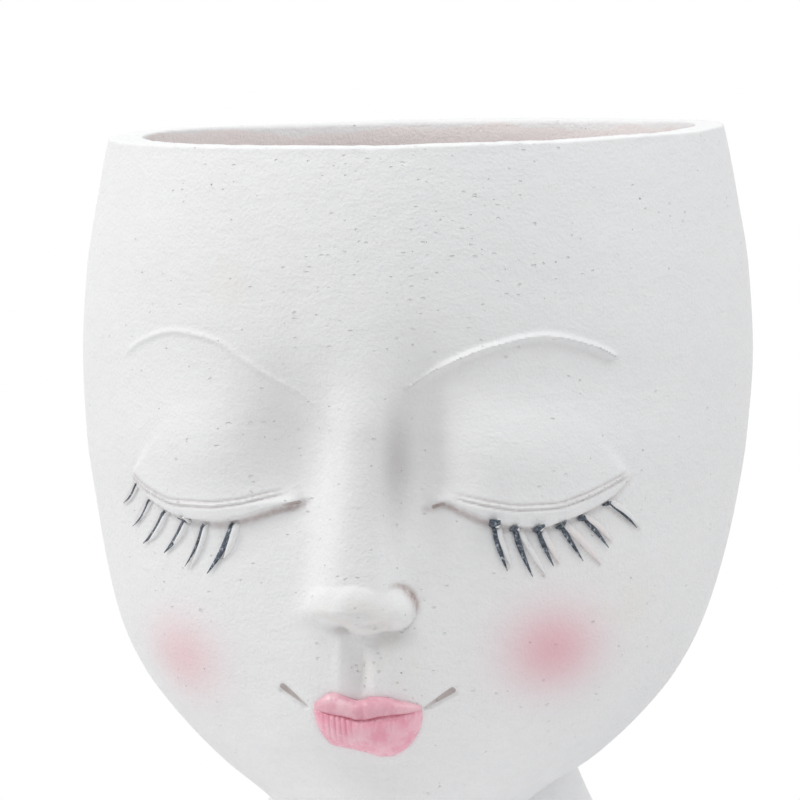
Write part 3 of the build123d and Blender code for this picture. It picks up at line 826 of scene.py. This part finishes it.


# White paint over the casting. It is matte, a little uneven, and yellowed in places. Brown
# painted shade sits in the grooves, creases and pits, grey painted shade in the eye sockets and
# on the nose, and the paint is darker in the dips of its coat. The cheeks are airbrushed pink,
# and the bowl inside is bare stone.
white, tree, shader = new_material("painted_casting")
place = whereabouts(tree)
surface = put(tree, "ShaderNodeGroup", [("Place", place)], node_tree=coat)
jitter = vector("SCALE", mottle(place, 1300, 1, output="Color"), 0.0006)
ragged = vector("ADD", place, jitter)
# Pits crowd on the forehead, beside the nose, in the left eye socket and at the rim.
crowd = times(ramped(mottle(place, 38, 2), 0.4, 0.66), 0.24)
for across, up, reach, share in (
    (0.06, 0.86, (0.03, 0.05, 0.024), 0.7), (0.07, 0.29, (0.012, 0.02, 0.014), 0.66),
    (-0.155, 0.585, (0.01, 0.02, 0.013), 0.3), (0.2, 0.99, (0.02, 0.02, 0.0016), 0.9),
    (-0.05, 0.42, (0.012, 0.02, 0.03), 0.16),
):
    crowd = plus(crowd, patch_of(place, across, up, reach, share))
holes = pits_of(ragged, 0.0026, 0.00026, times(crowd, 0.3))
dents = pits_of(vector("MULTIPLY", ragged, (0.62, 1.0, 1.25)), 0.0015, 0.00035, crowd)
specks = pits_of(ragged, 0.0019, 0.00015, 0.14)
paint = tinted(surface["Patch"], (0.9, 0.9, 0.9, 1), (0.865, 0.866, 0.87, 1))
# Painted shade: the paint is darker in the dips of its brushed coat.
paint = tinted(ramped(surface["Height"], 0.36, 0.6, 0.09, 0.0), paint, (0.62, 0.62, 0.63, 1))
# Yellowed stains, grey painted shade in the eye sockets, on the bridge and at the nose tip, and
# airbrushed blush patches: across, up, reach, strength.
yellow, painted_shade_grey = (0.8, 0.74, 0.62, 1), (0.55, 0.53, 0.535, 1)
blotches = ramped(mottle(place, 130, 4), 0.35, 0.65)
for across, up, reach, strength in (
    (-0.27, 0.8, (0.012, 0.02, 0.01), 0.16), (0.52, 0.36, (0.012, 0.02, 0.01), 0.16),
    (-0.01, 0.355, (0.007, 0.01, 0.004), 0.45), (0.03, 0.28, (0.01, 0.02, 0.006), 0.25),
):
    stain = times(patch_of(place, across, up, reach, strength), blotches)
    paint = tinted(stain, paint, yellow)
# Grey painted shade in the eye sockets, on the bridge and at the nose tip, then pink blush.
for across, up, reach, strength, colour in (
    (0.058, 0.56, (0.0034, 0.012, 0.011), 0.8, painted_shade_grey),
    (-0.2, 0.6, (0.009, 0.02, 0.011), 0.16, painted_shade_grey),
    (0, 0.5, (0.005, 0.02, 0.02), 0.22, painted_shade_grey),
    (0.004, 0.372, (0.005, 0.02, 0.005), 0.2, painted_shade_grey),
    (-0.406, 0.284, (0.01, 0.016, 0.0085), 0.62, (0.86, 0.52, 0.56, 1)),
    (0.358, 0.306, (0.01, 0.016, 0.009), 0.82, (0.83, 0.44, 0.5, 1)),
):
    paint = tinted(patch_of(place, across, up, reach, strength), paint, colour)
# Brown painted shade along the grooves at the mouth's ends and in the eyes' inner corners: start,
# end, half width at each, strength at each.
flat = vector("MULTIPLY", place, (1, 0, 1))
in_front = maths("LESS_THAN", put(tree, "ShaderNodeSeparateXYZ", [(0, place)])["Y"], 0)
for start, end, narrow, broad, faint, strong in (
    ((-0.0122, 0.0685), (-0.0177, 0.0725), 0.0003, 0.00074, 0.2, 0.66),
    ((0.0123, 0.0687), (0.0181, 0.0724), 0.0003, 0.00074, 0.2, 0.66),
    ((-0.0176, 0.1104), (-0.0143, 0.1111), 0.0003, 0.00042, 0.3, 0.6),
    ((0.0164, 0.1112), (0.0139, 0.1104), 0.0003, 0.00042, 0.3, 0.6),
):
    line = Vector((end[0] - start[0], 0, end[1] - start[1]))
    from_start = vector("SUBTRACT", flat, (start[0], 0, start[1]))
    along = vector("DOT_PRODUCT", from_start, line / line.length_squared, "Value")
    along = put(tree, "ShaderNodeClamp", [("Value", along)])[0]
    nearest = vector("SCALE", line, along)
    away = vector("DISTANCE", from_start, nearest, "Value")
    away = maths("DIVIDE", away, ramped(along, 0, 1, narrow, broad))
    scored = times(ramped(away, 1.0, 0.75), in_front)
    scored = times(scored, ramped(along, 0.0, 0.5, faint, strong))
    paint = tinted(scored, paint, (0.36, 0.29, 0.265, 1))
# Brown painted shade in the face's creases, grooves, nostrils and round the lash drops.
groove_shade = told(tree, "groove_shade")
uneven = plus(times(ramped(mottle(place, 700, 2), 0.3, 0.62), 0.55), 0.45)
paint = tinted(times(groove_shade, uneven), paint, (0.34, 0.2, 0.175, 1))
# Painted shade in the pinholes and dents.
paint = tinted(times(holes, 0.6), paint, (0.36, 0.31, 0.28, 1))
paint = tinted(times(dents, 0.05), paint, (0.55, 0.53, 0.51, 1))
inside = told(tree, "inside")
drips = times(plus(mottle(place, 48, 2), -0.5), 0.006)
bare = ramped(plus(inside, drips), 0.0003, 0.001)
stone = tinted(mottle(place, 45, 5), (0.92, 0.875, 0.865, 1), (0.85, 0.8, 0.79, 1))
relief = times(surface["Height"], 0.00037)
for part, depth in (
    (holes, -0.00032), (dents, -0.00022), (surface["Patch"], 0.0005), (specks, -0.00012),
):
    relief = plus(relief, times(part, depth))
coated(shader, tinted(bare, paint, stone), ramped(bare, 0, 1, 0.62, 0.85), relief)
head.data.materials.clear()
head.data.materials.append(white)
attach(head, "planter")
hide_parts("head_shell")


# Lips: raised with the casting and painted a glossy pink. Each is a full form that tucks in at
# the mouth line, with the creases that the sculptor scored down the lower one.
def face_y(x, z):
    """Depth of the skin's soft forms at (x, z) places near the middle of the face."""
    half, front, rear, centre = egg(z)
    at = x
    for again in range(8):
        sine = np.clip(at / half, -0.98, 0.98)
        cosine = np.sqrt(1 - sine ** 2)
        nx, ny = front * sine, -half * cosine
        size = np.hypot(nx, ny)
        out = soft_face(half * sine, z)
        at = x - nx / size * out
    return centre - front * cosine + ny / size * out


lip_columns_count, lip_rows_count, lip_backing = 200, 30, 0.0016


def lip(name, far_edge, tuck, proud, skew, fullness, creases):
    """One lip from the mouth line to its far edge, closed behind under the skin."""
    vertices, shades, ring = [], [], 2 * lip_rows_count
    for place in np.sin(np.linspace(-math.pi / 2, math.pi / 2, lip_columns_count)):
        share = 0.0465 + 0.9235 * place
        v = np.linspace(0, 1, lip_rows_count)
        line = lip_line(share) + tuck
        x = np.full(lip_rows_count, share * lip_width / 2)
        z = mouth_z + (line + (far_edge(share) - line) * v) * lip_height
        dome = 1 - np.abs(2 * v ** skew - 1) ** 2.4
        dome = dome ** np.where(v ** skew < 0.5, fullness[0], fullness[1])
        taper = (1 - abs(place) ** 2.8) ** 0.55
        rise = proud * dome * taper + 0.00032 * taper
        # Painted shade: darker along the mouth line and in the creases.
        shade = 0.85 * np.exp(-((v / 0.32) ** 2)) if tuck > 0 else 0.4 * np.exp(-((v / 0.1) ** 2))
        for at, wide, deep in creases:
            lean = share - at - 0.03 * (v - 0.5)
            scored = np.exp(-((lean / wide) ** 2)) * (1 - 0.75 * v ** 2)
            rise -= deep * scored * dome * taper
            shade = np.maximum(shade, deep / 0.0005 * scored * (1 - v))
        y = face_y(x, z) - rise + 0.0005 * (1 - taper)
        vertices += zip(x, y, z)
        shades += list(shade) + [1.0] * lip_rows_count
        vertices += zip(x[::-1], (face_y(x, z) + lip_backing)[::-1], z[::-1])
    ends = [range(ring)[::-1], range((lip_columns_count - 1) * ring, lip_columns_count * ring)]
    polygons = woven(lip_columns_count, ring) + ends
    return new_piece(name, vertices, polygons, [("shade", shades)])


upper_lip = lip("upper_lip_form", lip_top, -0.012, 0.0026, 0.6, (0.45, 0.6), [
    (0, 0.07, 0.00035), (0.52, 0.03, 0.0001),
])
lower_lip = lip("lower_lip_form", lip_bottom, 0.06, 0.0033, 0.92, (0.95, 0.5), [
    (-0.66, 0.02, 0.0003), (-0.56, 0.018, 0.0004), (-0.46, 0.02, 0.00046), (-0.36, 0.018, 0.00034),
    (-0.27, 0.02, 0.0004), (-0.17, 0.018, 0.00026), (0.22, 0.025, 0.00018), (0.48, 0.025, 0.00016),
])
painted_shade_pink, painted_highlight_pink = (0.6, 0.14, 0.22, 1), (0.92, 0.66, 0.72, 1)
upper_pinks = [(0.76, 0.37, 0.45, 1), (0.86, 0.52, 0.58, 1)]
lower_pinks = [(0.87, 0.38, 0.48, 1), (0.92, 0.55, 0.63, 1)]
for piece, pinks, highlight_place, node, slot in (
    (upper_lip, upper_pinks, (-0.005, -0.072, 0.0706), "upper_lip", "upper_lip_paint"),
    (lower_lip, lower_pinks, (-0.0012, -0.072, 0.0622), "lower_lip", "lower_lip_paint"),
):
    pink, tree, shader = new_material(node + "_gloss")
    place = whereabouts(tree)
    cloud = mottle(place, 260, 4, 0.6)
    stretched = put(tree, "ShaderNodeMapping", [("Vector", place), ("Scale", (1.0, 1.0, 0.18))])[0]
    streaks = mottle(stretched, 1500, 2)
    colour = tinted(ramped(cloud, 0.3, 0.7), *pinks)
    shade = told(tree, "shade")
    broken = plus(times(ramped(streaks, 0.3, 0.65), 0.6), 0.4)
    # Darker pink painted shade along the mouth line and in the creases.
    colour = tinted(times(times(shade, broken), 0.75), colour, painted_shade_pink)
    # A painted highlight: a paler pink patch on each lip, broken up by the clouds.
    wear_and_highlight = patch_at(place, highlight_place, (0.0024, 0.006, 0.001), 0.6)
    wear_and_highlight = times(wear_and_highlight, ramped(cloud, 0.36, 0.52))
    relief = plus(times(cloud, 0.00045), times(streaks, 0.00007))
    roughness = ramped(cloud, 0.3, 0.7, 0.2, 0.34)
    coated(shader, tinted(wear_and_highlight, colour, painted_highlight_pink), roughness, relief)
    piece.data.materials.append(pink)
    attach(piece, "planter")
    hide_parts(node)

# Lashes: six raised drops under each eye, cast with the face, and a stroke of slate paint laid by
# brush over the left side of each. One tool draws both along lines that lie on the skin.
brush, given, gives = new_group("drawn_strokes", [
    ("Geometry", "Geometry"), ("Flatness", "Float"), ("Sides", "Int"), ("Paint", "Material"),
], [("Geometry", "Geometry")], "GeometryNodeTree")
lines = put(brush, "GeometryNodeMeshToCurve", [("Mesh", given["Geometry"])])[0]
faces_out = put(
    brush, "GeometryNodeInputNamedAttribute", [("Name", "out")], data_type="FLOAT_VECTOR"
)[0]
half_widths = put(brush, "GeometryNodeInputNamedAttribute", [("Name", "half")], data_type="FLOAT")[0]
faced = put(brush, "GeometryNodeSetCurveNormal", [("Curve", lines), ("Normal", faces_out)], mode="FREE")
ring = put(brush, "GeometryNodeCurvePrimitiveCircle", [
    ("Resolution", given["Sides"]), ("Radius", 1.0),
], mode="RADIUS")
squash = put(brush, "ShaderNodeCombineXYZ", [("X", given["Flatness"]), ("Y", 1.0), ("Z", 1.0)])
oval = put(brush, "GeometryNodeTransform", [("Geometry", ring[0]), ("Scale", squash[0])])
body = put(brush, "GeometryNodeCurveToMesh", [
    ("Curve", faced[0]), ("Profile Curve", oval[0]), ("Scale", half_widths),
    ("Fill Caps", True),
])
whole = put(brush, "GeometryNodeRealizeInstances", [("Geometry", body[0])])
painted = put(
    brush, "GeometryNodeSetMaterial", [("Geometry", whole[0]), ("Material", given["Paint"])]
)
brush.links.new(painted[0], gives["Geometry"])


def drawn(name, paths, flatness, paint):
    """Strokes along paths of (across, up, lift, half width), as one closed mesh."""
    points, edges, outs, halves = [], [], [], []
    for path in paths:
        for i, (across, up, lift, half) in enumerate(path):
            point, out = on_skin(across, up, lift)
            if i:
                edges.append((len(points) - 1, len(points)))
            points.append(tuple(point))
            outs.append(out)
            halves.append(half)
    mesh = bpy.data.meshes.new(name)
    mesh.from_pydata(points, edges, [])
    ways = mesh.attributes.new("out", "FLOAT_VECTOR", "POINT")
    ways.data.foreach_set("vector", np.array(outs, np.float32).ravel())
    mesh.attributes.new("half", "FLOAT", "POINT").data.foreach_set("value", np.array(halves, np.float32))
    made = new_object(name, mesh)
    tool = made.modifiers.new("strokes", "NODES")
    tool.node_group = brush
    for label, value in (("Flatness", flatness), ("Sides", stroke_sides), ("Paint", paint)):
        tool[next(item.identifier for item in brush.interface.items_tree if item.name == label)] = value
    graph = bpy.context.evaluated_depsgraph_get()
    graph.update()
    made.data = bpy.data.meshes.new_from_object(made.evaluated_get(graph))
    made.modifiers.clear()
    made.data.name = name
    made.data.polygons.foreach_set("use_smooth", [True] * len(made.data.polygons))
    return made


# In millimetres: half width of each stroke at its root and its middle, and of each drop.
left_lash_halves = [
    (0.22, 0.28, 0.3), (0.26, 0.28, 0.36), (0.22, 0.54, 0.6), (0.3, 0.66, 0.62),
    (0.24, 0.36, 0.6), (0.34, 0.66, 0.8),
]
right_lash_halves = [
    (1.00, 0.66, 0.75), (0.5, 0.64, 0.7), (0.9, 0.6, 0.78), (0.84, 0.56, 0.85),
    (0.84, 0.56, 0.72), (0.4, 0.5, 0.7),
]
stroke_flatness, drop_flatness, stroke_sides, stroke_steps = 0.30, 0.95, 14, 20
lash_bow, stroke_lift, drop_lift, thinnest_stroke, thinnest_drop = 0.06, 0.00052, 0.00026, 0.07, 0.1


def bowed(root, tip, t, lean, over=0.0, shorter=0.0):
    """A share place along a lash that bows to one side."""
    bow = lash_bow * math.sin(math.pi * t) * lean
    across = root[0] + over + (tip[0] - root[0] - shorter) * t - bow * (root[1] - tip[1])
    return across, root[1] + (tip[1] - root[1]) * t + bow * abs(tip[0] - root[0])


stroke_paths, drop_paths = [], []
for lashes, halves, lean in (
    (left_lash_shares, left_lash_halves, -1), (right_lash_shares, right_lash_halves, 1),
):
    for (root, stroke, tip), (root_half, middle_half, drop_half) in zip(lashes, halves):
        stroke_path, drop_path = [], []
        for t in np.linspace(0, 1, stroke_steps):
            half = middle_half * math.sin(math.pi * (0.1 + 0.86 * t ** 0.75))
            half = max(half + root_half * math.exp(-((t / 0.12) ** 2)), thinnest_stroke)
            lift = stroke_lift + 0.0004 * math.exp(-t / 0.12)
            stroke_path.append((*bowed(root, stroke, t, lean), lift, half / 1000))
            half = drop_half * (1 - (abs(t - 0.3) / 0.7) ** 2.2) ** 0.8
            half = max(half * (0.45 + 0.55 * min(1, t / 0.15)), thinnest_drop)
            drop_path.append((*bowed(root, tip, t, lean, 0.006, 0.002), drop_lift, half / 1000))
        stroke_paths.append(stroke_path)
        drop_paths.append(drop_path)
slate, tree, shader = new_material("slate_paint")
place = whereabouts(tree)
dry = mottle(place, 1500, 3, 0.7)
ink = tinted(ramped(dry, 0.38, 0.6), (0.022, 0.03, 0.044, 1), (0.12, 0.15, 0.19, 1))
ink = tinted(ramped(dry, 0.57, 0.68), ink, (0.55, 0.57, 0.6, 1))
coated(shader, ink, ramped(dry, 0.3, 0.7, 0.4, 0.7), dry, distance=0.00008)
lash_paint = drawn("lash_strokes", stroke_paths, stroke_flatness, slate)
lash_drops = drawn("lash_drops", drop_paths, drop_flatness, white)
for piece, slot in ((lash_paint, "lash_paint"), (lash_drops, "casting")):
    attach(piece, "planter")
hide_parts(*[f"{side}_lash_{n}" for side in ("left", "right") for n in range(1, 7)])

# Plug and pads: black rubber. The plug is pressed into the drain hole from below, and the four
# pads are stuck under the foot; both keep the form of the solids.
rubber, tree, shader = new_material("black_rubber")
place = whereabouts(tree)
bloom = mottle(place, 320, 4)
black = tinted(bloom, (0.02, 0.02, 0.022, 1), (0.055, 0.055, 0.058, 1))
coated(shader, black, ramped(bloom, 0.3, 0.7, 0.55, 0.75), bloom, 0.6, 0.00005)
for node in ["drain_plug"] + [f"base_pad_{n}" for n in range(1, 5)]:
    carried = bpy.data.objects[node]
    for slot in carried.material_slots:
        slot.material = rubber
